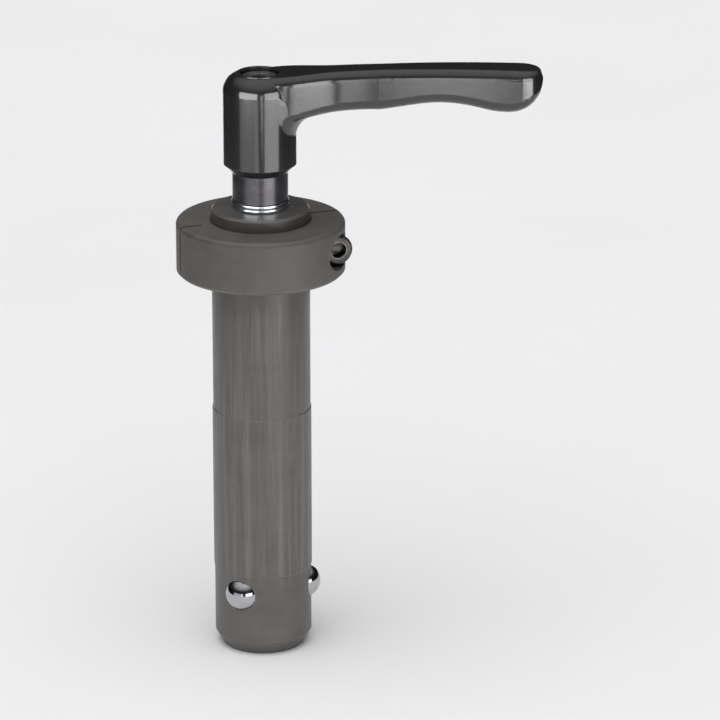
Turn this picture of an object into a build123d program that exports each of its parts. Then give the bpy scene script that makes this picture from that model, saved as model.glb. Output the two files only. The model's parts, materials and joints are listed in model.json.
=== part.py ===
from build123d import *

import os
from math import cos, radians, sin, tan

# Clamping bolt for a perforated welding table. The shank drops through a stack of holes, the lever draws
# the tie rod up, and the rod's wedge pushes three balls out below the table plate.
# Millimetres. +Z runs up along the bolt's axis and +X along the lever. The origin is on the axis, in the
# plane of the collar's underside, where the bolt rests on what it clamps.

# Fits
bore_play = 0.03            # radial play of the guide land in a table bore, and of the collar on the shank
running_play = 0.05         # radial play of the rod in the shank and in the insert
seat_gap = 0.05             # gap between faces that rest on each other across a joint
thread_play = 0.05          # radial play of a plain screw shank in its tapped hole
edge_break = 0.5            # small chamfers of turned edges
head_chamfer = 0.4          # chamfer round the heads of the screws

# Shank
table_bore = 28.0
grip_length = 93.5          # from the collar's underside down to the centres of the balls
shank_rise = 3.5            # height of the shank's top above the collar
collar_range = 40.0         # how far down the shank the collar can be set
land_step = 0.22            # how much the shank is relieved above and below its guide land
land_ball_gap = 1.0         # between the guide land and the balls
guide_length = 30.0         # close bore at the top, in which the rod slides
relief_step = 0.7           # how much wider the bore is between the guide and the chamber
chamber_radius = 9.0        # bore that holds the spring, the wedge and the balls
nose_length = 4.0
nose_step = 2.2             # how much the nose tapers in

# Collar
collar_diameter = 47.2
collar_height = 15.0
collar_top_round = 1.3
collar_bottom_chamfer = 0.8
collar_bore_chamfer = 0.5   # round the top of the bore
slit_angle = 19.0           # direction of the slit, anticlockwise from +X
slit_width = 1.0
relief_slot_width = 1.0
relief_web = 3.4            # wall left between the bore and the relief slot

# Collar screw
collar_screw_diameter = 5.0
collar_screw_inset = 5.2    # from the collar's rim to the screw's axis
collar_screw_length = 16.0
collar_head_diameter = 8.5
collar_head_height = 5.0
collar_head_seat = 8.0      # from the slit's plane to the seat of the head
collar_socket_width = 4.0
head_pocket_play = 0.8      # radial room round the head in its pocket

# Tie rod and its thread
rod_diameter = 10.0
thread_pitch = 1.5
loosening_turns = 2.0
thread_engagement = 10.6
flange_height = 3.0
flange_ball_gap = 1.0       # left between the flange and the balls when the rod is down
foot_height = 4.0

# Wedge and balls
ball_count = 3
ball_radius = 5.0
ball_reach = 2.4            # how far the locked balls stand out of the table bore's wall
ball_play = 0.08            # room round a ball in its pocket
wedge_angle = 40.0          # half angle of the wedge's cone
wedge_gap = 0.15            # gap between the wedge and the balls
neck_gap = 0.2              # gap between the rod's neck and the balls when they are in

# Return spring
return_spring_length = 31.5
return_wire = 1.6
wire_sides = 8              # flats round the wire's section, which stand in for its round
return_coils = 7.5
return_spring_gap = 0.5     # between the spring and the chamber's wall

# Guide pin
pin_diameter = 3.0
pin_height = 7.5            # height of the pin over the collar's underside
pin_play = 0.05
pin_inset = 0.6             # how far the pin's ends lie inside the shank's wall
slot_end_gap = 0.6          # room beyond the pin at each end of the rod's travel

# Closed lower end
end_gap = 0.4               # between the lowered wedge and the plug
plug_step = 1.0             # how much wider the plug's seat is than the chamber
plug_thickness = 2.4
plug_play = 0.02
ring_thickness = 1.0
ring_play = 0.05            # axial and radial play of the ring in its groove
ring_groove_depth = 0.5
ring_width = 1.9
ring_lug_radius = 1.9
ring_lug_hole = 0.8
ring_opening = 50.0         # angle between the middles of the ring's two lugs
end_lip = 2.0

# Shims
shim_diameter = 16.0
shim_thickness = 1.2
shim_bore_play = 0.15

# Threaded insert
insert_diameter = 15.6
insert_height = 20.9
insert_shoulder = 12.4      # height of the smooth sleeve below the teeth
insert_exposed = 8.0        # height of the sleeve that shows under the hub
tooth_count = 20
tooth_tip_radius = 7.0
tooth_depth = 0.9
tooth_play = 0.12
thread_reserve = 1.0        # bore left above the rod's end

# Hub of the handle
hub_diameter = 20.5
hub_height = 28.2
hub_top_round = 4.9
hub_bottom_chamfer = 2.4
hub_tooth_height = 3.8
hub_tooth_gap = 0.2         # between the insert's top and the hub's ceiling
hub_web = 2.0               # wall between the teeth and the recess in the hub's top
hub_sleeve_play = 0.08
lift_reserve = 0.4          # lift beyond the height of the teeth
recess_diameter = 10.9
rim_width = 0.8
rim_height = 0.2

# Arm of the handle, seen from the side
arm_reach = 78.1            # from the bolt's axis to the tip
arm_crown = 1.5             # how much the arm's top rises above the hub's
arm_drop = 0.6              # how much the tip's top lies below the crown
crease_reach = 33.0         # where the neck meets the grip
crease_depth = 11.5         # thickness of the arm at the crease
neck_drop = 1.0             # how much lower the underside lies at the waist than at the crease
neck_root_drop = 6.0        # the same, where the underside's curve would meet the axis
arch_depth = 9.5            # thickness in the middle of the grip's hollow
bulge_depth = 12.2          # thickness at the bulge of the grip's end
bulge_run = 9.5             # length over which the hollow turns into the bulge
bulge_rise = 1.5            # how much higher the underside lies where the bulge starts
tip_round = 9.2             # radius of the end, seen from the side

# Arm of the handle, seen from above
inner_half_width = 7.3      # on the axis, inside the hub
inner_flare = 0.25          # slope of the outline there, widening
root_half_width = 8.2       # where the neck leaves the hub
waist_reach = 17.0
waist_half_width = 6.3
crease_half_width = 5.3
crease_flare = -0.05        # slope of the neck's outline at the crease, narrowing
grip_half_width = 6.4
nose_trim = 0.6             # how much the rounded end in plan reaches past the tip's side view

# Rounds of the handle
arm_top_round = 2.6
arm_bottom_round = 3.0
throat_round = 7.0          # in the corner between the arm and the hub
throat_spread = 1.4         # how far the throat's round stands out from the hub's wall beside the arm
throat_fade = 5.0           # height over which it runs out below the hub's top round

# Retaining screw and lever spring
cap_screw_diameter = 5.0
cap_thread_depth = 6.5      # how far the screw goes into the insert
cap_thread_reserve = 0.5
cap_head_diameter = 10.2
cap_head_height = 3.2
cap_head_depth = 1.7        # how far the head lies below the hub's top
cap_socket_width = 4.0
cap_socket_depth = 2.0
cap_hole_play = 0.3
lever_wire = 0.7
lever_spring_diameter = 9.2
lever_coils = 4.5

# Worked out: travel
rod_travel = thread_pitch * loosening_turns
ball_travel = rod_travel * tan(radians(wedge_angle))
lever_lift = hub_tooth_height + lift_reserve

# Worked out: radii
bore_radius = table_bore / 2
land_radius = bore_radius - bore_play
shank_radius = land_radius - land_step
collar_radius = collar_diameter / 2
collar_bore_radius = shank_radius + bore_play
collar_screw_offset = collar_radius - collar_screw_inset
rod_radius = rod_diameter / 2 - running_play
guide_radius = rod_diameter / 2
relief_radius = guide_radius + relief_step
piston_radius = chamber_radius - running_play
plug_seat_radius = chamber_radius + plug_step
insert_radius = insert_diameter / 2
hub_radius = hub_diameter / 2
recess_radius = recess_diameter / 2
locked_ball_radius = bore_radius + ball_reach - ball_radius
neck_radius = locked_ball_radius - ball_travel - ball_radius - neck_gap

# Worked out: heights
shank_top = collar_height + shank_rise
insert_bottom = shank_top + 2 * shim_thickness
insert_top = insert_bottom + insert_height
sleeve_top = insert_bottom + insert_shoulder
rod_top = insert_bottom + thread_engagement
hub_bottom = insert_bottom + insert_exposed
hub_top = hub_bottom + hub_height
hub_wall_top = hub_top - hub_top_round
hub_ceiling = insert_top + hub_tooth_gap
recess_floor = hub_ceiling + hub_web
cap_seat = hub_top - cap_head_depth - cap_head_height
ball_height = -grip_length
land_top = -collar_range - seat_gap - land_step
land_bottom = ball_height + ball_radius + land_ball_gap
wedge_reach = ball_radius + wedge_gap
wedge_touch_radius = locked_ball_radius - wedge_reach * cos(radians(wedge_angle))
wedge_touch_height = ball_height - wedge_reach * sin(radians(wedge_angle))
wedge_top = wedge_touch_height + (wedge_touch_radius - neck_radius) / tan(radians(wedge_angle))
wedge_bottom = wedge_touch_height - (piston_radius - wedge_touch_radius) / tan(radians(wedge_angle))
foot_bottom = wedge_bottom - foot_height
flange_bottom = ball_height + ball_radius + rod_travel + flange_ball_gap
flange_top = flange_bottom + flange_height
chamber_top = flange_top + return_spring_length
plug_top = foot_bottom - rod_travel - end_gap
plug_bottom = plug_top - plug_thickness
groove_bottom = plug_bottom - ring_thickness - 2 * ring_play
shank_bottom = groove_bottom - end_lip


# Coil of wire with ends ground flat, standing between two heights.
def coil_spring(lower, upper, mean_radius, wire, coils):
    with BuildPart() as spring:
        with BuildLine() as path:
            Helix(pitch=(upper - lower) / coils, height=upper - lower, radius=mean_radius, center=(0, 0, lower))
        with BuildSketch(Plane(origin=path.line @ 0, z_dir=path.line % 0)):
            RegularPolygon(wire / 2, wire_sides)
        sweep(is_frenet=True)
        split(bisect_by=Plane.XY.offset(lower), keep=Keep.TOP)
        split(bisect_by=Plane.XY.offset(upper), keep=Keep.BOTTOM)
    return spring


# Round section with straight-sided teeth, for a toothed rim or the matching cut.
def toothed_section(plane, tip_radius):
    groove_angle = radians(180 / tooth_count)
    mouth_radius = tip_radius + tooth_depth
    mouth_x = mouth_radius * cos(groove_angle)
    mouth_y = mouth_radius * sin(groove_angle)
    with BuildSketch(plane) as section:
        Circle(tip_radius)
        with PolarLocations(0, tooth_count):
            Polygon(
                (tip_radius - tooth_depth, 0),
                (mouth_x, mouth_y),
                (mouth_x, -mouth_y),
                align=None,
                mode=Mode.SUBTRACT,
            )
    return section


# Shank: turned body with one land that guides it in the bores, bored in steps from below, with ball pockets
with BuildPart() as shank:
    with BuildSketch(Plane.XZ):
        with BuildLine():
            Polyline(
                (guide_radius, shank_top),
                (shank_radius - edge_break, shank_top),
                (shank_radius, shank_top - edge_break),
                (shank_radius, land_top + land_step),
                (land_radius, land_top),
                (land_radius, land_bottom),
                (shank_radius, land_bottom - land_step),
                (shank_radius, shank_bottom + nose_length),
                (shank_radius - nose_step, shank_bottom),
                (plug_seat_radius, shank_bottom),
                (plug_seat_radius, groove_bottom),
                (plug_seat_radius + ring_groove_depth, groove_bottom),
                (plug_seat_radius + ring_groove_depth, plug_bottom),
                (plug_seat_radius, plug_bottom),
                (plug_seat_radius, plug_top),
                (chamber_radius, plug_top),
                (chamber_radius, chamber_top),
                (relief_radius, chamber_top),
                (relief_radius, shank_top - guide_length),
                (guide_radius, shank_top - guide_length),
                close=True,
            )
        make_face()
    revolve(axis=Axis.Z)
    with Locations((0, 0, ball_height)):
        with PolarLocations(locked_ball_radius, ball_count):
            Sphere(ball_radius + ball_play, mode=Mode.SUBTRACT)
        with PolarLocations(locked_ball_radius / 2, ball_count):
            Cylinder(
                ball_radius + ball_play,
                locked_ball_radius,
                rotation=(0, 90, 0),
                mode=Mode.SUBTRACT,
            )
    with Locations((0, 0, pin_height)):
        Cylinder(pin_diameter / 2, 2 * bore_radius, rotation=(90, 0, 0), mode=Mode.SUBTRACT)
shank.part.label = "shank"

# Tie rod: stem, flange, neck, wedge and foot, with a slot for the guide pin
with BuildPart() as tie_rod:
    with BuildSketch(Plane.XZ):
        with BuildLine():
            Polyline(
                (0, rod_top),
                (rod_radius - edge_break, rod_top),
                (rod_radius, rod_top - edge_break),
                (rod_radius, flange_top),
                (piston_radius, flange_top),
                (piston_radius, flange_bottom),
                (neck_radius, flange_bottom),
                (neck_radius, wedge_top),
                (piston_radius, wedge_bottom),
                (piston_radius, foot_bottom + edge_break),
                (piston_radius - edge_break, foot_bottom),
                (0, foot_bottom),
                close=True,
            )
        make_face()
    revolve(axis=Axis.Z)
    with BuildSketch(Plane.XZ):
        with Locations((0, pin_height + rod_travel / 2)):
            SlotOverall(
                pin_diameter + rod_travel + 2 * slot_end_gap,
                pin_diameter + 2 * pin_play,
                rotation=90,
            )
    extrude(amount=rod_radius, both=True, mode=Mode.SUBTRACT)
tie_rod.part.label = "tie_rod"

# Locking balls, pushed out
lock_balls = []
for index in range(ball_count):
    ball_direction = radians(index * 360 / ball_count)
    ball_place = (locked_ball_radius * cos(ball_direction), locked_ball_radius * sin(ball_direction), ball_height)
    with BuildPart() as lock_ball:
        with Locations(ball_place):
            Sphere(ball_radius)
    lock_ball.part.label = f"lock_ball_{index + 1}"
    lock_balls.append(lock_ball)

# Return spring between the chamber's roof and the rod's flange
return_spring = coil_spring(
    flange_top + seat_gap,
    chamber_top - seat_gap,
    chamber_radius - return_spring_gap - return_wire / 2,
    return_wire,
    return_coils,
)
return_spring.part.label = "return_spring"

# Guide pin, pressed through the shank across the rod's slot
with BuildPart() as guide_pin:
    with Locations((0, 0, pin_height)):
        Cylinder(pin_diameter / 2, 2 * (shank_radius - pin_inset), rotation=(90, 0, 0))
    chamfer(guide_pin.edges().filter_by(GeomType.CIRCLE), edge_break / 2)
guide_pin.part.label = "guide_pin"

# End plug: disc that closes the chamber from below
with BuildPart() as end_plug:
    with BuildSketch(Plane.XY.offset(plug_bottom)):
        Circle(plug_seat_radius - plug_play)
    extrude(amount=plug_thickness)
    chamfer(end_plug.edges().group_by(Axis.Z)[0], edge_break / 2)
end_plug.part.label = "end_plug"

# Retaining ring: open spring ring with two lugs, in the groove below the plug
ring_outer_radius = plug_seat_radius + ring_groove_depth - ring_play
ring_inner_radius = ring_outer_radius - ring_width
ring_lug_place = ring_outer_radius - ring_lug_radius
ring_gap_x = 2 * ring_outer_radius * cos(radians(ring_opening / 2))
ring_gap_y = 2 * ring_outer_radius * sin(radians(ring_opening / 2))
lug_directions = [-ring_opening / 2, ring_opening / 2]
lug_places = [
    (ring_lug_place * cos(radians(direction)), ring_lug_place * sin(radians(direction)))
    for direction in lug_directions
]
with BuildPart() as retaining_ring:
    with BuildSketch(Plane.XY.offset(plug_bottom - ring_play - ring_thickness)):
        Circle(ring_outer_radius)
        Circle(ring_inner_radius, mode=Mode.SUBTRACT)
        Polygon((0, 0), (ring_gap_x, -ring_gap_y), (ring_gap_x, ring_gap_y), align=None, mode=Mode.SUBTRACT)
        with Locations(*lug_places):
            Circle(ring_lug_radius)
            Circle(ring_lug_hole, mode=Mode.SUBTRACT)
    extrude(amount=ring_thickness)
retaining_ring.part.label = "retaining_ring"

# Shims between the shank's top and the insert
shims = {"lower_shim": shank_top, "upper_shim": shank_top + shim_thickness}
shim_parts = []
for shim_name, shim_height in shims.items():
    with BuildPart() as shim:
        with BuildSketch(Plane.XY.offset(shim_height)):
            Circle(shim_diameter / 2)
            Circle(rod_diameter / 2 + shim_bore_play, mode=Mode.SUBTRACT)
        extrude(amount=shim_thickness)
    shim.part.label = shim_name
    shim_parts.append(shim)

# Clamping collar: ring with one slit, one relief slot and a pocket for the screw's head
slit_direction = (cos(radians(slit_angle)), sin(radians(slit_angle)), 0)
screw_direction = (sin(radians(slit_angle)), -cos(radians(slit_angle)), 0)
collar_plane = Plane(origin=(0, 0, 0), x_dir=slit_direction, z_dir=(0, 0, 1))
screw_plane = Plane(origin=(0, 0, collar_height / 2), x_dir=slit_direction, z_dir=screw_direction)
with BuildPart() as clamp_collar:
    with BuildSketch(Plane.XY):
        Circle(collar_radius)
        Circle(collar_bore_radius, mode=Mode.SUBTRACT)
    extrude(amount=collar_height)
    fillet(clamp_collar.edges().group_by(Axis.Z)[-1].sort_by(SortBy.RADIUS)[-1], collar_top_round)
    chamfer(clamp_collar.edges().group_by(Axis.Z)[0].sort_by(SortBy.RADIUS)[-1], collar_bottom_chamfer)
    chamfer(clamp_collar.edges().group_by(Axis.Z)[-1].sort_by(SortBy.RADIUS)[0], collar_bore_chamfer)
    with BuildSketch(collar_plane):
        with Locations((collar_radius / 2, 0)):
            Rectangle(collar_radius, slit_width)
        with Locations((-collar_bore_radius - relief_web - collar_radius / 2, 0)):
            Rectangle(collar_radius, relief_slot_width)
    extrude(amount=collar_height, mode=Mode.SUBTRACT)
    with BuildSketch(screw_plane.offset(collar_head_seat)):
        with Locations((collar_screw_offset, 0)):
            Circle(collar_head_diameter / 2 + head_pocket_play)
    extrude(amount=collar_radius, mode=Mode.SUBTRACT)
    with BuildSketch(screw_plane):
        with Locations((collar_screw_offset, 0)):
            Circle(collar_screw_diameter / 2 + thread_play)
    extrude(amount=collar_radius, both=True, mode=Mode.SUBTRACT)
clamp_collar.part.label = "clamp_collar"

# Collar screw: socket head screw across the slit
with BuildPart() as collar_screw:
    with BuildSketch(screw_plane.offset(collar_head_seat)):
        with Locations((collar_screw_offset, 0)):
            Circle(collar_head_diameter / 2)
    extrude(amount=collar_head_height)
    head_rim = collar_screw.faces().sort_by(Axis(origin=(0, 0, 0), direction=screw_direction))[-1].edges()
    chamfer(head_rim, head_chamfer)
    with BuildSketch(screw_plane.offset(collar_head_seat + collar_head_height)):
        with Locations((collar_screw_offset, 0)):
            RegularPolygon(collar_socket_width / 2, 6, major_radius=False)
    extrude(amount=-collar_head_height / 2, mode=Mode.SUBTRACT)
    with BuildSketch(screw_plane.offset(collar_head_seat)):
        with Locations((collar_screw_offset, 0)):
            Circle(collar_screw_diameter / 2)
    extrude(amount=-collar_screw_length)
collar_screw.part.label = "collar_screw"

# Threaded insert: smooth sleeve with a toothed head, bored from both ends
with BuildPart() as threaded_insert:
    with BuildSketch(Plane.XY.offset(insert_bottom)):
        Circle(insert_radius)
    extrude(amount=insert_shoulder)
    chamfer(threaded_insert.edges().group_by(Axis.Z)[0], edge_break / 2)
    insert_teeth = toothed_section(Plane.XY.offset(sleeve_top), tooth_tip_radius)
    extrude(insert_teeth.sketch, amount=insert_top - sleeve_top)
    with BuildSketch(Plane.XY.offset(insert_bottom)):
        Circle(guide_radius)
    extrude(amount=thread_engagement + thread_reserve, mode=Mode.SUBTRACT)
    with BuildSketch(Plane.XY.offset(insert_top)):
        Circle(cap_screw_diameter / 2 + thread_play)
    extrude(amount=-cap_thread_depth - cap_thread_reserve, mode=Mode.SUBTRACT)
threaded_insert.part.label = "threaded_insert"

# Handle: the arm is its side outline cut to its plan outline and rounded, and grows out of the turned hub.
# The hub's wall comes first, and the round of the throat fades out where the hub's own top round starts
arm_top = hub_top + arm_crown
underside_root = (0, arm_top - crease_depth - neck_root_drop)
underside_waist = (waist_reach, arm_top - crease_depth - neck_drop)
crease_foot = (crease_reach, arm_top - crease_depth)
tip_center = (arm_reach - tip_round, arm_top - bulge_depth + tip_round)
tip_top_height = arm_top - arm_drop
tip_top = (tip_center[0] + (tip_round**2 - (tip_top_height - tip_center[1]) ** 2) ** 0.5, tip_top_height)
bulge_foot = (tip_center[0], arm_top - bulge_depth)
bulge_start = (bulge_foot[0] - bulge_run, bulge_foot[1] + bulge_rise)
arch_peak = ((crease_reach + tip_center[0]) / 2, arm_top - arch_depth)
arch_chord = (arch_peak[0] - crease_foot[0], arch_peak[1] - crease_foot[1])
root_reach = (hub_radius**2 - root_half_width**2) ** 0.5
nose_center = arm_reach + nose_trim - grip_half_width
hub_plane = Plane(origin=(0, 0, 0), x_dir=(-1, 0, 0), z_dir=(0, 1, 0))
with BuildPart() as handle:
    with BuildSketch(Plane.XZ):
        with BuildLine():
            Line((0, hub_top - rim_height), underside_root)
            ThreePointArc(underside_root, underside_waist, crease_foot)
            Spline(crease_foot, arch_peak, bulge_start, bulge_foot, tangents=[arch_chord, (1, 0)])
            ThreePointArc(bulge_foot, (arm_reach, tip_center[1]), tip_top)
            ThreePointArc(tip_top, (crease_reach, arm_top), (0, hub_top - rim_height))
        make_face()
    extrude(amount=hub_radius, both=True)
    with BuildSketch(Plane.XY.offset(hub_bottom)):
        with BuildLine():
            Polyline((nose_center, 0), (0, 0), (0, inner_half_width))
            Spline(
                (0, inner_half_width),
                (root_reach, root_half_width),
                (waist_reach, waist_half_width),
                (crease_reach, crease_half_width),
                tangents=[(1, inner_flare), (1, crease_flare)],
            )
            Line((crease_reach, crease_half_width), (nose_center, grip_half_width))
            CenterArc((nose_center, 0), grip_half_width, 0, 90)
            Line((nose_center + grip_half_width, 0), (nose_center, 0))
        make_face()
        mirror(about=Plane.XZ)
    extrude(amount=arm_top, mode=Mode.INTERSECT)
    lower_rims = handle.edges().filter_by(
        lambda edge: edge.geom_type != GeomType.LINE
        and edge.center().X > hub_radius
        and edge.center().Z < (arm_top + tip_center[1]) / 2
        and abs(edge.center().Y) > crease_half_width / 2
    )
    fillet(lower_rims, arm_bottom_round)
    upper_rims = handle.edges().filter_by(
        lambda edge: edge.center().X > edge_break and edge.center().Z > (arm_top + tip_center[1]) / 2
    )
    fillet(upper_rims, arm_top_round)
    arm = handle.part
    with BuildSketch(hub_plane):
        with BuildLine():
            Polyline(
                (0, hub_wall_top),
                (0, hub_bottom),
                (hub_radius - hub_bottom_chamfer, hub_bottom),
                (hub_radius, hub_bottom + hub_bottom_chamfer),
                (hub_radius, hub_wall_top),
                close=True,
            )
        make_face()
    revolve(axis=Axis.Z)
    throat_edges = handle.edges().filter_by(
        lambda edge: edge.center().X > edge_break
        and abs(Vector(edge.center().X, edge.center().Y).length - hub_radius) < edge_break
        and hub_bottom + hub_bottom_chamfer + edge_break < edge.center().Z < hub_wall_top - edge_break
    )
    fillet(throat_edges, throat_round)
    with BuildSketch(hub_plane):
        with BuildLine():
            Polyline(
                (0, hub_bottom),
                (hub_diameter, hub_bottom),
                (hub_diameter, hub_wall_top - throat_fade),
                (hub_radius + throat_spread, hub_wall_top - throat_fade),
                (hub_radius, hub_wall_top),
                (0, hub_wall_top),
                close=True,
            )
        make_face()
    revolve(axis=Axis.Z, mode=Mode.INTERSECT)
    add(arm)
    with BuildSketch(hub_plane):
        with BuildLine():
            Polyline(
                (hub_radius, hub_wall_top),
                (0, hub_wall_top),
                (0, hub_top),
                (hub_radius - hub_top_round, hub_top),
            )
            CenterArc((hub_radius - hub_top_round, hub_wall_top), hub_top_round, 0, 90)
        make_face()
    revolve(axis=Axis.Z)
    with BuildSketch(Plane.XY.offset(hub_top - rim_height)):
        Circle(recess_radius + rim_width)
    extrude(amount=2 * rim_height)
    with BuildSketch(Plane.XY.offset(recess_floor)):
        Circle(recess_radius)
    extrude(amount=hub_height, mode=Mode.SUBTRACT)
    with BuildSketch(Plane.XY.offset(hub_ceiling)):
        Circle(cap_screw_diameter / 2 + cap_hole_play)
    extrude(amount=hub_web, mode=Mode.SUBTRACT)
    hub_teeth = toothed_section(Plane.XY.offset(hub_ceiling - hub_tooth_height), tooth_tip_radius + tooth_play)
    extrude(hub_teeth.sketch, amount=hub_tooth_height, mode=Mode.SUBTRACT)
    with BuildSketch(Plane.XY.offset(hub_bottom)):
        Circle(tooth_tip_radius + tooth_play)
    extrude(amount=hub_ceiling - hub_tooth_height - hub_bottom, mode=Mode.SUBTRACT)
    with BuildSketch(Plane.XY.offset(hub_bottom)):
        Circle(insert_radius + hub_sleeve_play)
    extrude(amount=sleeve_top + seat_gap - hub_bottom, mode=Mode.SUBTRACT)
handle.part.label = "handle"

# Lever spring between the recess's floor and the retaining screw's head
lever_spring = coil_spring(
    recess_floor + seat_gap,
    cap_seat - seat_gap,
    (lever_spring_diameter - lever_wire) / 2,
    lever_wire,
    lever_coils,
)
lever_spring.part.label = "lever_spring"

# Retaining screw: wide socketed head over the spring, threaded into the insert
with BuildPart() as retaining_screw:
    with BuildSketch(Plane.XY.offset(cap_seat)):
        Circle(cap_head_diameter / 2)
    extrude(amount=cap_head_height)
    chamfer(retaining_screw.edges().group_by(Axis.Z)[-1], head_chamfer)
    with BuildSketch(Plane.XY.offset(cap_seat + cap_head_height)):
        RegularPolygon(cap_socket_width / 2, 6, major_radius=False)
    extrude(amount=-cap_socket_depth, mode=Mode.SUBTRACT)
    with BuildSketch(Plane.XY.offset(cap_seat)):
        Circle(cap_screw_diameter / 2)
    extrude(amount=insert_top - cap_thread_depth - cap_seat)
retaining_screw.part.label = "retaining_screw"

pieces = [
    shank,
    tie_rod,
    *lock_balls,
    return_spring,
    guide_pin,
    end_plug,
    retaining_ring,
    *shim_parts,
    clamp_collar,
    collar_screw,
    threaded_insert,
    handle,
    lever_spring,
    retaining_screw,
]
os.makedirs("parts", exist_ok=True)
for piece in pieces:
    export_step(piece.part, f"parts/{piece.part.label}.step")
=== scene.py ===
import json
import math

import bmesh
import bpy
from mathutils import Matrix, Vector

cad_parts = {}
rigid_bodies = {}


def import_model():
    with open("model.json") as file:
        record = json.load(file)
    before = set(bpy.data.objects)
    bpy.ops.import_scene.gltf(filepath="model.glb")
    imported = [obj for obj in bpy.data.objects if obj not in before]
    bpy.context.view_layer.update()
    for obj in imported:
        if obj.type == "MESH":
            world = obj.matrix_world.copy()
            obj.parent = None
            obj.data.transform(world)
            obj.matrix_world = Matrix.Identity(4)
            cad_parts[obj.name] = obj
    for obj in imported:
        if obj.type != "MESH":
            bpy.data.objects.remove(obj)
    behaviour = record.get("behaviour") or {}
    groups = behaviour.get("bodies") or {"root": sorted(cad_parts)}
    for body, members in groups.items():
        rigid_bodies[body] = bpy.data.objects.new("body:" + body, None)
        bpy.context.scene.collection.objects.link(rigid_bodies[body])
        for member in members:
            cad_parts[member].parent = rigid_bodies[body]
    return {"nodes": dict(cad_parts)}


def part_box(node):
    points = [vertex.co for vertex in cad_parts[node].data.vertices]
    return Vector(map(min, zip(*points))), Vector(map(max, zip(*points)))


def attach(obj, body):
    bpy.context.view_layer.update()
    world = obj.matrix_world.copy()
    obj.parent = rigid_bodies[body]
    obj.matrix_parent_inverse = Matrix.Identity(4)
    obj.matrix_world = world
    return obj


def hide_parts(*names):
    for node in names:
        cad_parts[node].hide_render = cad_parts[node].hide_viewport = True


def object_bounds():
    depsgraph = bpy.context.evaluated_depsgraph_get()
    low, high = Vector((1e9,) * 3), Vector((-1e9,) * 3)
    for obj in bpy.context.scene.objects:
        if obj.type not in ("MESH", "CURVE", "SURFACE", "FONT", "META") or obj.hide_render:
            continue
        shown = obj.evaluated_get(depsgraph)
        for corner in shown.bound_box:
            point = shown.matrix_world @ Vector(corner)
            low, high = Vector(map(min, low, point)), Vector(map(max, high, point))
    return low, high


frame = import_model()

print("clamping bolt: frame loaded")
mm = 0.001
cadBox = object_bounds()
nodes = frame["nodes"]


# Node helpers, which every effect and material below is built with
def addNode(tree, kind, **settings):
    node = tree.nodes.new(kind)
    for name, value in settings.items():
        setattr(node, name, value)
    return node


def setInputs(node, **values):
    # an underscore stands for the space in a socket's name
    for name, value in values.items():
        node.inputs[name.replace("_", " ")].default_value = value
    return node


def wire(tree, source, sink):
    tree.links.new(source, sink)


def newGroup(name, inputs, outputs):
    group = bpy.data.node_groups.new(name, "ShaderNodeTree")
    for label, kind, value in inputs:
        socket = group.interface.new_socket(label, in_out="INPUT", socket_type=kind)
        if value is not None:
            socket.default_value = value
    for label, kind in outputs:
        group.interface.new_socket(label, in_out="OUTPUT", socket_type=kind)
    return group, group.nodes.new("NodeGroupInput"), group.nodes.new("NodeGroupOutput")


def addMath(tree, operation, first, second, clamp=False):
    node = addNode(tree, "ShaderNodeMath", operation=operation, use_clamp=clamp)
    for index, value in enumerate((first, second)):
        if hasattr(value, "is_linked"):
            wire(tree, value, node.inputs[index])
        elif value is not None:
            node.inputs[index].default_value = value
    return node.outputs[0]


def addWeighted(tree, first, firstShare, second, secondShare):
    return addMath(tree, "ADD",
                   addMath(tree, "MULTIPLY", first, firstShare),
                   addMath(tree, "MULTIPLY", second, secondShare))


def addRange(tree, value, low, high, newLow=0.0, newHigh=1.0):
    node = addNode(tree, "ShaderNodeMapRange")
    setInputs(node, From_Min=low, From_Max=high, To_Min=newLow, To_Max=newHigh)
    wire(tree, value, node.inputs["Value"])
    return node.outputs["Result"]


# places of the mix node's colour sockets, whose names it has more than once
colourSockets = {"first": 6, "second": 7, "result": 2}


def addBlend(tree, factor, first, second):
    node = addNode(tree, "ShaderNodeMix", data_type="RGBA")
    wire(tree, factor, node.inputs["Factor"])
    for place, value in (("first", first), ("second", second)):
        socket = node.inputs[colourSockets[place]]
        if hasattr(value, "is_linked"):
            wire(tree, value, socket)
        else:
            socket.default_value = (*value, 1)
    return node.outputs[colourSockets["result"]]


def addNoise(tree, vector, scale, detail, **values):
    node = setInputs(addNode(tree, "ShaderNodeTexNoise"), Scale=scale, Detail=detail, **values)
    wire(tree, vector, node.inputs["Vector"])
    return node.outputs["Fac"]


def addMapping(tree, vector, **values):
    node = addNode(tree, "ShaderNodeMapping")
    for name, value in values.items():
        node.inputs[name].default_value = value
    wire(tree, vector, node.inputs["Vector"])
    return node.outputs["Vector"]


def shade(red, green, blue):
    # screen values from 0 to 255 as the linear colour that shows them
    return tuple((part / 255 / 12.92) if part <= 10 else ((part / 255 + 0.055) / 1.055) ** 2.4
                 for part in (red, green, blue))


# Edges where the finish is rubbed: the corner's rounding against the face's own direction
rubLook = {
    "samples": 6, "flat": 0.998, "corner": 0.93,
    "grain": 700.0, "grainDetail": 4.0, "grainRoughness": 0.6, "patch": (0.35, 0.62),
}


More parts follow.
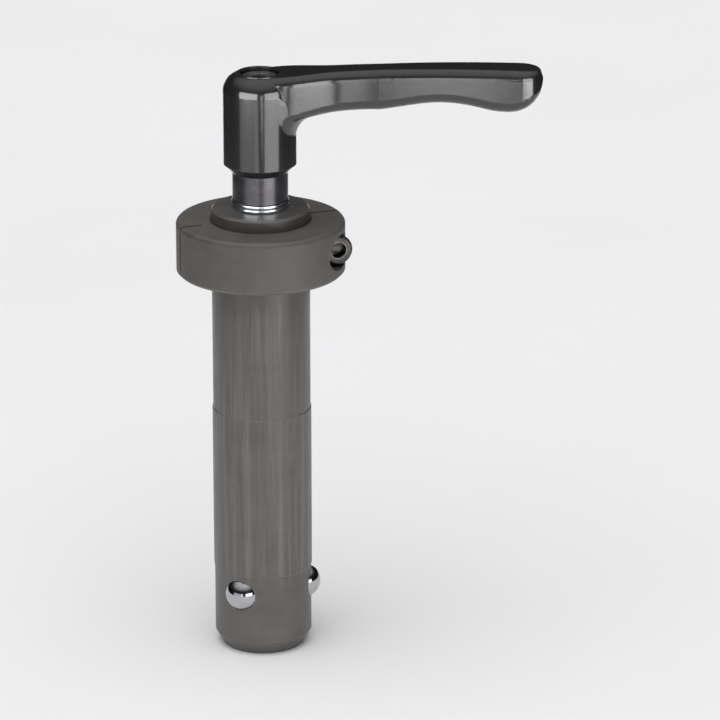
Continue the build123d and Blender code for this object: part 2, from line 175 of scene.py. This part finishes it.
def buildEdgeRub():
    group, come, go = newGroup(
        "edgeRub",
        [("Width", "NodeSocketFloat", 0.4 * mm), ("Break up", "NodeSocketFloat", 0.5)],
        [("Mask", "NodeSocketFloat")],
    )
    rounded = addNode(group, "ShaderNodeBevel", samples=rubLook["samples"])
    wire(group, come.outputs["Width"], rounded.inputs["Radius"])
    face = addNode(group, "ShaderNodeNewGeometry")
    match = addNode(group, "ShaderNodeVectorMath", operation="DOT_PRODUCT")
    wire(group, rounded.outputs["Normal"], match.inputs[0])
    wire(group, face.outputs["Normal"], match.inputs[1])
    edge = addRange(group, match.outputs["Value"], rubLook["flat"], rubLook["corner"])
    place = addNode(group, "ShaderNodeTexCoord")
    grain = addNoise(group, place.outputs["Object"], rubLook["grain"], rubLook["grainDetail"],
                     Roughness=rubLook["grainRoughness"])
    patch = addRange(group, grain, *rubLook["patch"])
    kept = addMath(group, "SUBTRACT", 1.0, come.outputs["Break up"])
    patchy = addMath(group, "MULTIPLY", patch, come.outputs["Break up"])
    share = addMath(group, "ADD", kept, patchy)
    wire(group, addMath(group, "MULTIPLY", edge, share, clamp=True), go.inputs["Mask"])
    return group


# Fine lines left by turning or grinding, round the bolt's axis; endRate packs them closer on end faces.
# Fine and broad each have the noise's scale, its detail and their share of the tone
turningLook = {
    "endRate": 1.7, "height": (0.25, 0.75), "fine": (1.0, 3.0, 0.45), "broad": (0.07, 2.0, 0.55),
}


def buildTurning():
    group, come, go = newGroup(
        "turning",
        [("Place", "NodeSocketVector", None), ("Spacing", "NodeSocketFloat", 0.12 * mm)],
        [("Height", "NodeSocketFloat"), ("Tone", "NodeSocketFloat")],
    )
    split = addNode(group, "ShaderNodeSeparateXYZ")
    wire(group, come.outputs["Place"], split.inputs[0])
    square = addMath(group, "ADD",
                     addMath(group, "MULTIPLY", split.outputs["X"], split.outputs["X"]),
                     addMath(group, "MULTIPLY", split.outputs["Y"], split.outputs["Y"]))
    reach = addMath(group, "SQRT", square, None)
    outward = addMath(group, "MULTIPLY", reach, turningLook["endRate"])
    along = addMath(group, "ADD", outward, split.outputs["Z"])
    turns = addMath(group, "DIVIDE", along, come.outputs["Spacing"])
    lines = []
    for scale, detail, share in (turningLook["fine"], turningLook["broad"]):
        noise = addNode(group, "ShaderNodeTexNoise", noise_dimensions="1D")
        setInputs(noise, Scale=scale, Detail=detail)
        wire(group, turns, noise.inputs["W"])
        lines += [noise.outputs["Fac"], share]
    wire(group, addRange(group, lines[0], *turningLook["height"]), go.inputs["Height"])
    wire(group, addWeighted(group, *lines), go.inputs["Tone"])
    return group


# Cloudy tone and fine tooth of a treated steel skin, each from noise of its own size
skinLook = {"cloudDetail": 5.0, "toothDetail": 4.0, "roughness": 0.62, "span": (0.3, 0.7)}


def buildSkin():
    group, come, go = newGroup(
        "treatedSkin",
        [("Place", "NodeSocketVector", None), ("Cloud size", "NodeSocketFloat", 9 * mm),
         ("Tooth size", "NodeSocketFloat", 0.35 * mm)],
        [("Cloud", "NodeSocketFloat"), ("Tooth", "NodeSocketFloat")],
    )
    for label, detail in (("Cloud", skinLook["cloudDetail"]), ("Tooth", skinLook["toothDetail"])):
        scaled = addNode(group, "ShaderNodeVectorMath", operation="SCALE")
        wire(group, come.outputs["Place"], scaled.inputs[0])
        rate = addMath(group, "DIVIDE", 1.0, come.outputs[label + " size"])
        wire(group, rate, scaled.inputs["Scale"])
        noise = addNoise(group, scaled.outputs[0], 1.0, detail, Roughness=skinLook["roughness"])
        wire(group, addRange(group, noise, *skinLook["span"]), go.inputs[label])
    return group


# Polished streaks along the axis, where the piece slides in and out of bores.
# Each layer: rate across and along the streaks, and the noise's span that shows; fade in mm at both ends
wearLook = {"layers": ((420, 14, (0.5, 0.74)), (1900, 40, (0.52, 0.78))), "detail": 3.0, "fade": 6.0}


def buildSlideWear():
    group, come, go = newGroup(
        "slideWear",
        [("Place", "NodeSocketVector", None), ("Lowest", "NodeSocketFloat", 0.0),
         ("Highest", "NodeSocketFloat", 1.0), ("Amount", "NodeSocketFloat", 0.5)],
        [("Mask", "NodeSocketFloat")],
    )
    streaks = None
    for across, along, span in wearLook["layers"]:
        place = addMapping(group, come.outputs["Place"], Scale=(across, across, along))
        streak = addRange(group, addNoise(group, place, 1.0, wearLook["detail"]), *span)
        streaks = streak if streaks is None else addMath(group, "ADD", streaks, streak, clamp=True)
    split = addNode(group, "ShaderNodeSeparateXYZ")
    wire(group, come.outputs["Place"], split.inputs[0])
    fromLow = addMath(group, "SUBTRACT", split.outputs["Z"], come.outputs["Lowest"])
    fromHigh = addMath(group, "SUBTRACT", come.outputs["Highest"], split.outputs["Z"])
    nearest = addMath(group, "MINIMUM", fromLow, fromHigh)
    inside = addRange(group, nearest, 0.0, wearLook["fade"] * mm)
    zone = addMath(group, "MULTIPLY", streaks, inside)
    wire(group, addMath(group, "MULTIPLY", zone, come.outputs["Amount"], clamp=True), go.inputs["Mask"])
    return group


# Hairline scuffs from handling. Each direction: its turn, and a seed that shifts its noise
scuffLook = {
    "directions": ((0.4, 3.1), (1.5, 7.7), (2.6, 12.9)), "tilt": (0.7, 1.3, 1.0), "shift": (1.0, 0.5, -1.0),
    "rate": (110, 3600, 3600), "detail": 1.0, "span": (0.68, 0.8),
}


def buildScuffs():
    group, come, go = newGroup(
        "scuffs",
        [("Place", "NodeSocketVector", None), ("Amount", "NodeSocketFloat", 0.4)],
        [("Mask", "NodeSocketFloat")],
    )
    lines = None
    for turn, seed in scuffLook["directions"]:
        place = addMapping(
            group,
            come.outputs["Place"],
            Rotation=tuple(turn * part for part in scuffLook["tilt"]),
            Location=tuple(seed * part for part in scuffLook["shift"]),
            Scale=scuffLook["rate"],
        )
        line = addRange(group, addNoise(group, place, 1.0, scuffLook["detail"]), *scuffLook["span"])
        lines = line if lines is None else addMath(group, "MAXIMUM", lines, line)
    wire(group, addMath(group, "MULTIPLY", lines, come.outputs["Amount"], clamp=True), go.inputs["Mask"])
    return group


edgeRub = buildEdgeRub()
turning = buildTurning()
treatedSkin = buildSkin()
slideWear = buildSlideWear()
scuffs = buildScuffs()
print("clamping bolt: shared effects built")


def useGroup(tree, group, place=None, **values):
    node = addNode(tree, "ShaderNodeGroup", node_tree=group)
    if place is not None:
        wire(tree, place, node.inputs["Place"])
    return setInputs(node, **values)


def startMaterial(name):
    # a new material, its nodes and shader, and the object coordinates
    material = bpy.data.materials.new(name)
    material.use_nodes = True
    tree = material.node_tree
    place = addNode(tree, "ShaderNodeTexCoord")
    return material, tree, tree.nodes["Principled BSDF"], place.outputs["Object"]


def addBump(tree, shader, height):
    # the height counts in mm
    bump = setInputs(addNode(tree, "ShaderNodeBump"), Strength=1.0, Distance=mm)
    wire(tree, height, bump.inputs["Height"])
    wire(tree, bump.outputs["Normal"], shader.inputs["Normal"])
    return bump


# Steel of the bolt: turned or ground, then treated. One recipe with each finish's own values, lengths in mm
steelFinishes = {
    "nitridedCollar": {
        "dark": (97, 95, 91), "light": (119, 116, 111), "rubbed": (150, 147, 141), "metallic": 0.5,
        "roughness": (0.5, 0.62), "spacing": 0.16, "lineDepth": 0.0016, "toothDepth": 0.005,
        "cloud": 7.0, "rub": 0.3, "scuff": 0.12,
    },
    "nitridedShank": {
        "dark": (92, 90, 88), "light": (115, 113, 110), "rubbed": (152, 149, 145), "metallic": 0.5,
        "roughness": (0.36, 0.5), "spacing": 0.2, "lineDepth": 0.0012, "toothDepth": 0.003,
        "cloud": 12.0, "rub": 0.3, "scuff": 0.1, "wear": {"amount": 0.6, "lowest": -92.0, "highest": -4.0},
    },
    "burnishedInsert": {
        "dark": (66, 65, 68), "light": (92, 90, 94), "rubbed": (150, 148, 150), "metallic": 1.0,
        "roughness": (0.2, 0.3), "spacing": 0.1, "lineDepth": 0.0008, "toothDepth": 0.0006,
        "cloud": 6.0, "rub": 0.2, "scuff": 0.15,
    },
    "zincShim": {
        "dark": (172, 178, 183), "light": (208, 212, 216), "rubbed": (230, 231, 232), "metallic": 1.0,
        "roughness": (0.16, 0.26), "spacing": 0.12, "lineDepth": 0.0006, "toothDepth": 0.0012,
        "cloud": 3.0, "rub": 0.2, "scuff": 0.2,
    },
    "nickelScrew": {
        "dark": (62, 61, 60), "light": (88, 86, 83), "rubbed": (184, 181, 176), "metallic": 1.0,
        "roughness": (0.22, 0.34), "spacing": 0.1, "lineDepth": 0.0006, "toothDepth": 0.0012,
        "cloud": 2.5, "rub": 0.3, "scuff": 0.2,
    },
    "blackOxide": {
        "dark": (38, 38, 40), "light": (56, 55, 57), "rubbed": (112, 110, 108), "metallic": 0.9,
        "roughness": (0.32, 0.45), "spacing": 0.12, "lineDepth": 0.0008, "toothDepth": 0.0015,
        "cloud": 4.0, "rub": 0.25, "scuff": 0.2,
    },
    "phosphate": {
        "dark": (58, 58, 60), "light": (84, 83, 85), "rubbed": (124, 122, 120), "metallic": 0.4,
        "roughness": (0.36, 0.5), "spacing": 0.12, "lineDepth": 0.0008, "toothDepth": 0.002,
        "cloud": 3.0, "rub": 0.25, "scuff": 0.2,
    },
    "ballSteel": {
        "dark": (170, 171, 174), "light": (200, 201, 203), "rubbed": (222, 222, 222), "metallic": 1.0,
        "roughness": (0.08, 0.16), "spacing": 0.4, "lineDepth": 0.0001, "toothDepth": 0.0003,
        "cloud": 3.0, "rub": 0.2, "scuff": 0.3,
    },
    "springWire": {
        "dark": (120, 121, 124), "light": (156, 157, 160), "rubbed": (200, 200, 200), "metallic": 1.0,
        "roughness": (0.26, 0.36), "spacing": 0.2, "lineDepth": 0.0004, "toothDepth": 0.0012,
        "cloud": 2.0, "rub": 0.2, "scuff": 0.2,
    },
}
steelMix = {
    "tooth": 0.3, "breakUp": 0.6, "cloudShare": 0.62, "lineShare": 0.38, "tone": (0.2, 0.8),
    "wornColour": 0.5, "wornPolish": 0.14,
}


def steelMaterial(name):
    look = steelFinishes[name]
    material, tree, shader, place = startMaterial(name)
    setInputs(shader, Metallic=look["metallic"])
    lines = useGroup(tree, turning, place, Spacing=look["spacing"] * mm)
    skin = useGroup(tree, treatedSkin, place, Cloud_size=look["cloud"] * mm,
                    Tooth_size=steelMix["tooth"] * mm)
    rubbed = useGroup(tree, edgeRub, Width=look["rub"] * mm, Break_up=steelMix["breakUp"])
    marks = useGroup(tree, scuffs, place, Amount=look["scuff"])
    tone = addWeighted(tree, skin.outputs["Cloud"], steelMix["cloudShare"],
                       lines.outputs["Tone"], steelMix["lineShare"])
    body = addBlend(tree, tone, shade(*look["dark"]), shade(*look["light"]))
    worn = addMath(tree, "MAXIMUM", rubbed.outputs["Mask"], marks.outputs["Mask"])
    smoothed = addRange(tree, tone, *steelMix["tone"], *look["roughness"])
    if "wear" in look:
        wear = look["wear"]
        streaks = useGroup(tree, slideWear, place, Lowest=wear["lowest"] * mm, Highest=wear["highest"] * mm,
                           Amount=wear["amount"]).outputs["Mask"]
        lighter = addMath(tree, "MULTIPLY", streaks, steelMix["wornColour"])
        worn = addMath(tree, "MAXIMUM", worn, lighter)
        polish = addMath(tree, "MULTIPLY", streaks, steelMix["wornPolish"])
        smoothed = addMath(tree, "SUBTRACT", smoothed, polish)
    wire(tree, addBlend(tree, worn, body, shade(*look["rubbed"])), shader.inputs["Base Color"])
    wire(tree, smoothed, shader.inputs["Roughness"])
    height = addWeighted(tree, lines.outputs["Height"], look["lineDepth"],
                         skin.outputs["Tooth"], look["toothDepth"])
    addBump(tree, shader, height)
    return material


# Black powder coat of the cast handle: a fine peel over broad clouds, under a clear gloss. Sizes in mm
coatLook = {
    "dark": (15, 15, 16), "light": (22, 22, 23), "thin": (44, 43, 43), "roughness": (0.3, 0.4),
    "roughnessSpan": (0.1, 0.9), "specular": 0.15, "coatRoughness": 0.12, "coatIor": 1.65,
    "peelSize": 1.6, "peelDepth": 0.007, "dustSize": 0.3, "dustDepth": 0.0006,
    "cloudSize": 16, "mottleSize": 2.2, "rub": 0.5, "breakUp": 0.8, "thinShare": 0.5,
    "flow": 0.2, "flowSamples": 8,
}


def coatMaterial(name):
    look = coatLook
    material, tree, shader, place = startMaterial(name)
    setInputs(shader, Specular_IOR_Level=look["specular"], Coat_Weight=1.0,
              Coat_Roughness=look["coatRoughness"], Coat_IOR=look["coatIor"])
    peel = useGroup(tree, treatedSkin, place, Cloud_size=look["peelSize"] * mm,
                    Tooth_size=look["dustSize"] * mm)
    clouds = useGroup(tree, treatedSkin, place, Cloud_size=look["cloudSize"] * mm,
                      Tooth_size=look["mottleSize"] * mm)
    rubbed = useGroup(tree, edgeRub, Width=look["rub"] * mm, Break_up=look["breakUp"])
    body = addBlend(tree, clouds.outputs["Cloud"], shade(*look["dark"]), shade(*look["light"]))
    thin = addMath(tree, "MULTIPLY", rubbed.outputs["Mask"], look["thinShare"])
    wire(tree, addBlend(tree, thin, body, shade(*look["thin"])), shader.inputs["Base Color"])
    roughness = addRange(tree, clouds.outputs["Tooth"], *look["roughnessSpan"], *look["roughness"])
    wire(tree, roughness, shader.inputs["Roughness"])
    height = addWeighted(tree, peel.outputs["Cloud"], look["peelDepth"],
                         peel.outputs["Tooth"], look["dustDepth"])
    bump = addBump(tree, shader, height)
    # the coat flows round corners, so it turns them more softly than the casting under it
    soft = addNode(tree, "ShaderNodeBevel", samples=look["flowSamples"])
    setInputs(soft, Radius=look["flow"] * mm)
    wire(tree, soft.outputs["Normal"], bump.inputs["Normal"])
    wire(tree, bump.outputs["Normal"], shader.inputs["Coat Normal"])
    return material


def selectOnly(*pieces):
    # the first piece becomes the active one
    bpy.ops.object.select_all(action="DESELECT")
    for piece in pieces:
        piece.select_set(True)
    bpy.context.view_layer.objects.active = pieces[0]


smoothAngle = math.radians(30)


def dress(piece, material):
    piece.data.materials.clear()
    piece.data.materials.append(material)
    selectOnly(piece)
    bpy.ops.object.shade_smooth_by_angle(angle=smoothAngle)


# the screws and the shims are modelled further down
wornBy = {
    "nitridedCollar": ("clamp_collar",),
    "nitridedShank": ("shank",),
    "burnishedInsert": ("threaded_insert",),
    "blackOxide": ("tie_rod", "end_plug", "retaining_ring"),
    "ballSteel": ("lock_ball_1", "lock_ball_2", "lock_ball_3", "guide_pin"),
    "springWire": ("return_spring", "lever_spring"),
}
finished = {finish: steelMaterial(finish) for finish in steelFinishes}
for finish, names in wornBy.items():
    for nodeName in names:
        dress(nodes[nodeName], finished[finish])
dress(nodes["handle"], coatMaterial("powderCoat"))
print("clamping bolt: finishes on")


# Mesh helpers for the pieces that stand in for CAD nodes; sizes come in mm
def openMesh(piece):
    selectOnly(piece)
    bpy.ops.object.mode_set(mode="EDIT")


def pick(piece, kind, test):
    # selects the vertices or edges that pass the test, in edit mode
    cage = bmesh.from_edit_mesh(piece.data)
    bpy.ops.mesh.select_mode(type={"verts": "VERT", "edges": "EDGE"}[kind])
    bpy.ops.mesh.select_all(action="DESELECT")
    for element in getattr(cage, kind):
        if test(element):
            element.select_set(True)
    cage.select_flush_mode()
    bmesh.update_edit_mesh(piece.data)


def bevelEdges(piece, test, offset, segments):
    openMesh(piece)
    pick(piece, "edges", test)
    bpy.ops.mesh.bevel(offset=offset * mm, segments=segments)
    bpy.ops.object.mode_set(mode="OBJECT")


def addCone(name, radius, topRadius, low, high, sides):
    bpy.ops.mesh.primitive_cone_add(vertices=sides, radius1=radius * mm, radius2=topRadius * mm,
                                    depth=(high - low) * mm, location=(0, 0, (low + high) / 2 * mm))
    piece = bpy.context.object
    piece.name = name
    bpy.ops.object.transform_apply(location=True)
    return piece


def addCylinder(name, radius, low, high, sides):
    return addCone(name, radius, radius, low, high, sides)


def cut(piece, tool):
    # takes the tool's volume out of the piece, then drops the tool
    selectOnly(piece)
    modifier = piece.modifiers.new("cut", "BOOLEAN")
    modifier.operation, modifier.solver, modifier.object = "DIFFERENCE", "EXACT", tool
    bpy.ops.object.modifier_apply(modifier="cut")
    bpy.data.objects.remove(tool)


def standIn(piece, nodeName, body, finish):
    dress(piece, finished[finish])
    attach(piece, body)
    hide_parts(nodeName)


# Thread: depth as a share of the pitch, and the share of the pitch that a ridge fills
threadLook = {"depth": 0.54, "ridge": 0.9, "stepsPerTurn": 36, "weld": 0.001}


def buildThread(radius, low, high, pitch):
    # one V-shaped profile carried up round the axis
    depth = threadLook["depth"] * pitch
    middle = (0, 0, 0)
    bpy.ops.mesh.primitive_plane_add(size=pitch * mm, location=middle)
    thread = bpy.context.object
    openMesh(thread)
    pick(thread, "verts", lambda vertex: vertex.co.x > 0)
    bpy.ops.mesh.merge(type="CENTER")
    bpy.ops.mesh.select_all(action="SELECT")
    bpy.ops.transform.rotate(value=math.pi / 2, orient_axis="X", center_override=middle)
    bpy.ops.transform.resize(value=(threadLook["depth"], 1, threadLook["ridge"]), center_override=middle)
    bpy.ops.transform.translate(value=((radius - depth / 2) * mm, 0, (low + pitch / 2) * mm))
    bpy.ops.object.mode_set(mode="OBJECT")
    turns = (high - low - pitch) / pitch
    modifier = thread.modifiers.new("helix", "SCREW")
    modifier.angle, modifier.screw_offset = 2 * math.pi * turns, turns * pitch * mm
    modifier.steps = modifier.render_steps = round(threadLook["stepsPerTurn"] * turns)
    modifier.use_merge_vertices = False
    bpy.ops.object.modifier_apply(modifier="helix")
    openMesh(thread)
    bpy.ops.mesh.select_all(action="SELECT")
    bpy.ops.mesh.remove_doubles(threshold=threadLook["weld"] * mm)
    bpy.ops.mesh.normals_make_consistent(inside=False)
    bpy.ops.object.mode_set(mode="OBJECT")
    return thread


# Screws, modelled standing on +Z and then laid in place. A knurled head has every second side edge set in.
# A seat is where the head rests: outward from the axis in the turn's direction, sideways from it, and up.
# None keeps the screw upright on the bolt's axis, with its end where the CAD screw ends
collarScrew = {
    "node": "collar_screw", "body": "collar", "slot": "screw_steel", "finish": "nickelScrew",
    "headRadius": 4.25, "headHeight": 5.0, "topRound": 0.45, "socketWidth": 4.0, "socketDepth": 2.5,
    "threadRadius": 2.5, "length": 16.0, "pitch": 0.8, "sides": 120, "knurlDepth": 0.12,
    "seat": (18.4, 8.0, 7.5), "turn": 19.0,
}
retainingScrew = {
    "node": "retaining_screw", "body": "nut", "slot": "oxide_steel", "finish": "phosphate",
    "headRadius": 5.1, "headHeight": 4.1, "topRound": 0.5, "socketWidth": 4.0, "socketDepth": 2.0,
    "threadRadius": 2.5, "length": 16.9, "pitch": 0.8, "sides": 96, "knurlDepth": 0.0,
    "seat": None,
}
# What both screws share: the head's lower edge, the drilled cone under the socket, the cone that leads
# into it, the core that runs up into the head, and where the thread starts and ends
screwShape = {
    "topSegments": 3, "lowerBreak": 0.15, "drillDepth": 0.6, "drillLap": 0.3, "drillShare": 0.9,
    "leadDepth": 0.3, "leadLap": 0.5, "leadInside": 0.35, "leadOutside": 0.55, "toolSides": 48,
    "coreLap": 0.2, "coreSides": 64, "tipBreak": 0.4, "threadStart": 0.3, "threadEnd": 1.2,
}
touch = 0.01                # how near counts as the same height or radius
clear = 1                   # how far a cutting tool stands out of the piece


def endZ(edge):
    return [vertex.co.z / mm for vertex in edge.verts]


def isLevel(edge):
    return max(endZ(edge)) - min(endZ(edge)) < touch


def buildScrewHead(look):
    top = look["headHeight"]
    head = addCylinder(look["node"] + "Dressed", look["headRadius"], 0, top, look["sides"])
    if look["knurlDepth"]:
        inset = 1 - look["knurlDepth"] / look["headRadius"]
        step = 2 * math.pi / look["sides"]

        def everySecond(edge):
            bearing = math.atan2(edge.verts[0].co.y, edge.verts[0].co.x)
            return not isLevel(edge) and round(bearing / step) % 2 == 0

        openMesh(head)
        pick(head, "edges", everySecond)
        bpy.ops.transform.resize(value=(inset, inset, 1), center_override=(0, 0, 0))
        bpy.ops.object.mode_set(mode="OBJECT")
    bevelEdges(head, lambda edge: min(endZ(edge)) > top - touch, look["topRound"], screwShape["topSegments"])
    bevelEdges(head, lambda edge: max(endZ(edge)) < touch, screwShape["lowerBreak"], 1)
    corner = look["socketWidth"] / math.sqrt(3)
    floor = top - look["socketDepth"]
    cut(head, addCylinder("socketTool", corner, floor, top + clear, sides=6))
    cut(head, addCone("drillTool", 0, corner * screwShape["drillShare"], floor - screwShape["drillDepth"],
                      floor + screwShape["drillLap"], screwShape["toolSides"]))
    cut(head, addCone("leadTool", corner - screwShape["leadInside"], corner + screwShape["leadOutside"],
                      top - screwShape["leadDepth"], top + screwShape["leadLap"], screwShape["toolSides"]))
    return head


def buildScrew(look):
    head = buildScrewHead(look)
    tip = -look["length"]
    coreRadius = look["threadRadius"] - threadLook["depth"] * look["pitch"]
    core = addCylinder("core", coreRadius, tip, screwShape["coreLap"], screwShape["coreSides"])
    bevelEdges(core, lambda edge: max(endZ(edge)) < tip + touch, screwShape["tipBreak"], 1)
    thread = buildThread(look["threadRadius"], tip + screwShape["threadStart"], -screwShape["threadEnd"],
                         look["pitch"])
    selectOnly(head, core, thread)
    bpy.ops.object.join()
    if look["seat"] is None:
        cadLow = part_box(look["node"])[0]
        head.location = (0, 0, cadLow.z + look["length"] * mm)
    else:
        turn = math.radians(look["turn"])
        outward, sideways, height = look["seat"]
        head.rotation_euler = (math.radians(90), 0, turn)
        head.location = Vector((outward * math.cos(turn) + sideways * math.sin(turn),
                                outward * math.sin(turn) - sideways * math.cos(turn), height)) * mm
    bpy.ops.object.transform_apply(location=True, rotation=True)
    standIn(head, look["node"], look["body"], look["finish"])


buildScrew(collarScrew)
buildScrew(retainingScrew)
print("clamping bolt: screws modelled")

# Shims: stamped rings, their rims turned over by the die
shimLook = {
    "rimRound": 0.28, "rimSegments": 4, "rimSides": 128,
    "bore": 10.3, "boreRound": 0.2, "boreSegments": 2, "boreSides": 96,
}


def buildShim(nodeName):
    cadLow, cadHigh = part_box(nodeName)
    low, high = cadLow.z / mm, cadHigh.z / mm
    boreRadius = shimLook["bore"] / 2
    rimRadius = (cadHigh.x - cadLow.x) / 2 / mm
    ring = addCylinder(nodeName + "Dressed", rimRadius, low, high, shimLook["rimSides"])

    def isBoreEdge(edge):
        reach = max(vertex.co.xy.length for vertex in edge.verts) / mm
        return isLevel(edge) and reach < boreRadius + touch

    bevelEdges(ring, isLevel, shimLook["rimRound"], shimLook["rimSegments"])
    cut(ring, addCylinder("boreTool", boreRadius, low - clear, high + clear, shimLook["boreSides"]))
    bevelEdges(ring, isBoreEdge, shimLook["boreRound"], shimLook["boreSegments"])
    standIn(ring, nodeName, "bolt", "zincShim")


for nodeName in ("lower_shim", "upper_shim"):
    buildShim(nodeName)
print("clamping bolt: shims modelled")

# Studio: pale floor, soft boxes before and behind the bolt, a dark screen behind them, light from overhead.
# Angles in degrees, lengths in metres. Each box: name, azimuths, elevations, distance, radiance and receiver
studio = {
    "floorTone": (242, 242, 243), "floorShade": 0.96, "floorCloud": 0.3, "floorRoughness": 0.6,
    "floorSpecular": 0.2, "floorSize": 8.0, "aimHeight": 0.04,
    "opening": (0.5, 0.92), "horizonTone": (0.03, 0.03, 0.031), "openingTone": (0.8, 0.8, 0.81),
    "sun": {"irradiance": 2.1, "spread": 75.0, "tilt": 20.0, "turn": -20.0},
    "cardReach": 0.42, "cardTop": 0.05, "cardTone": (24, 24, 25), "cardRoughness": 0.9,
    "cardSpecular": 0.1, "cardSides": 96,
    "boxes": (
        ("outerLeft", (-63, -16), (-24.4, -9), 0.33, 0.7, "all"),
        ("innerLeft", (-16, -4), (-24.4, -9), 0.33, 1.3, "all"),
        ("topLeft", (-64, -7), (-12.5, 24), 0.33, 6.0, "lever"),
        ("lowRight", (14, 59), (-24.4, -9), 0.33, 2.6, "all"),
        ("topRight", (16, 60), (-12.5, 24), 0.33, 5.0, "lever"),
        ("armSide", (3.0, 9.8), (-15.5, 14), 0.41, 3.2, "lever"),
        ("behind", (156, 204), (-24.4, 0), 0.33, 1.2, "all"),
    ),
}
floorHeight = cadBox[0][2]


def buildFloor():
    bpy.ops.mesh.primitive_plane_add(size=studio["floorSize"], location=(0, 0, floorHeight))
    floor = bpy.context.object
    floor.name = "floor"
    material, tree, shader, place = startMaterial("paleFloor")
    setInputs(shader, Roughness=studio["floorRoughness"], Specular_IOR_Level=studio["floorSpecular"])
    skin = useGroup(tree, treatedSkin, place, Cloud_size=studio["floorCloud"])
    tone = shade(*studio["floorTone"])
    darker = tuple(part * studio["floorShade"] for part in tone)
    wire(tree, addBlend(tree, skin.outputs["Cloud"], darker, tone), shader.inputs["Base Color"])
    floor.data.materials.append(material)


def buildCard():
    # dark round screen behind the soft boxes, for reflections only: it keeps the far floor out of the gloss
    height = studio["cardTop"] - floorHeight
    middle = (0, 0, floorHeight + height / 2)
    bpy.ops.mesh.primitive_cylinder_add(vertices=studio["cardSides"], radius=studio["cardReach"],
                                        depth=height, end_fill_type="NOTHING", location=middle)
    card = bpy.context.object
    card.name = "darkCard"
    material = bpy.data.materials.new("darkCard")
    material.use_nodes = True
    setInputs(material.node_tree.nodes["Principled BSDF"], Base_Color=(*shade(*studio["cardTone"]), 1),
              Roughness=studio["cardRoughness"], Specular_IOR_Level=studio["cardSpecular"])
    card.data.materials.append(material)
    card.visible_camera = card.visible_diffuse = card.visible_shadow = False


def hangLamp(name, data):
    lamp = bpy.data.objects.new(name, data)
    bpy.context.scene.collection.objects.link(lamp)
    return lamp


def buildBox(name, azimuths, elevations, distance, radiance, receiver):
    # a soft box facing the object; azimuths count from the camera's side to the right
    low, high = (math.tan(math.radians(angle)) * distance for angle in elevations)
    turn = math.radians(sum(azimuths) / 2)
    width = 2 * distance * math.tan(math.radians(azimuths[1] - azimuths[0]) / 2)
    data = bpy.data.lights.new(name, "AREA")
    data.shape, data.size, data.size_y = "RECTANGLE", width, high - low
    data.energy = radiance * math.pi * width * (high - low)
    lamp = hangLamp(name, data)
    height = studio["aimHeight"] + (low + high) / 2
    lamp.location = (math.sin(turn) * distance, -math.cos(turn) * distance, height)
    lamp.rotation_euler = (math.radians(90), 0, turn)
    lamp.visible_camera = False
    lamp.light_linking.receiver_collection = lit[receiver]


def buildSun():
    # broad overhead light for the floor and the upward faces; it stays out of the gloss
    look = studio["sun"]
    data = bpy.data.lights.new("overhead", "SUN")
    data.energy, data.angle = look["irradiance"], math.radians(look["spread"])
    lamp = hangLamp("overhead", data)
    lamp.rotation_euler = (math.radians(look["tilt"]), 0, math.radians(look["turn"]))
    lamp.visible_glossy = False


def buildSky():
    # dark round the horizon, with a broad pale opening overhead
    world = bpy.data.worlds.new("studioAir")
    world.use_nodes = True
    tree = world.node_tree
    place = addNode(tree, "ShaderNodeTexCoord")
    split = addNode(tree, "ShaderNodeSeparateXYZ")
    wire(tree, place.outputs["Generated"], split.inputs[0])
    opening = addRange(tree, split.outputs["Z"], *studio["opening"])
    tone = addBlend(tree, opening, studio["horizonTone"], studio["openingTone"])
    wire(tree, tone, tree.nodes["Background"].inputs["Color"])
    bpy.context.scene.world = world


# what a soft box lights: the bolt alone, or only its upper pieces, so the floor stays even on every side
lit = {label: bpy.data.collections.new(label + "Lit") for label in ("all", "lever")}
upperNodes = ("handle", "threaded_insert", "retaining_screw", "upper_shim", "lower_shim")
for piece in list(bpy.context.scene.objects):
    if piece.type == "MESH":
        lit["all"].objects.link(piece)
        if piece.name.startswith(upperNodes):
            lit["lever"].objects.link(piece)
buildFloor()
buildCard()
for box in studio["boxes"]:
    buildBox(*box)
buildSun()
buildSky()
print("clamping bolt: studio set")

# Camera: on the photograph's line of sight, with a longer lens. Places and lengths in mm
cameraPlace = {"position": (0, -1184.2, 390.7), "aim": (27.7, 0, -27.0), "lens": 223.0, "sensor": 36}
cameraData = bpy.data.cameras.new("camera")
cameraData.lens = cameraPlace["lens"]
cameraData.sensor_width = cameraPlace["sensor"]
camera = bpy.data.objects.new("camera", cameraData)
camera.location = Vector(cameraPlace["position"]) * mm
sight = (Vector(cameraPlace["aim"]) - Vector(cameraPlace["position"])) * mm
camera.rotation_mode = "QUATERNION"
camera.rotation_quaternion = sight.to_track_quat("-Z", "Y")
bpy.context.scene.collection.objects.link(camera)
bpy.context.scene.camera = camera
bpy.context.scene.view_settings.view_transform = "Standard"
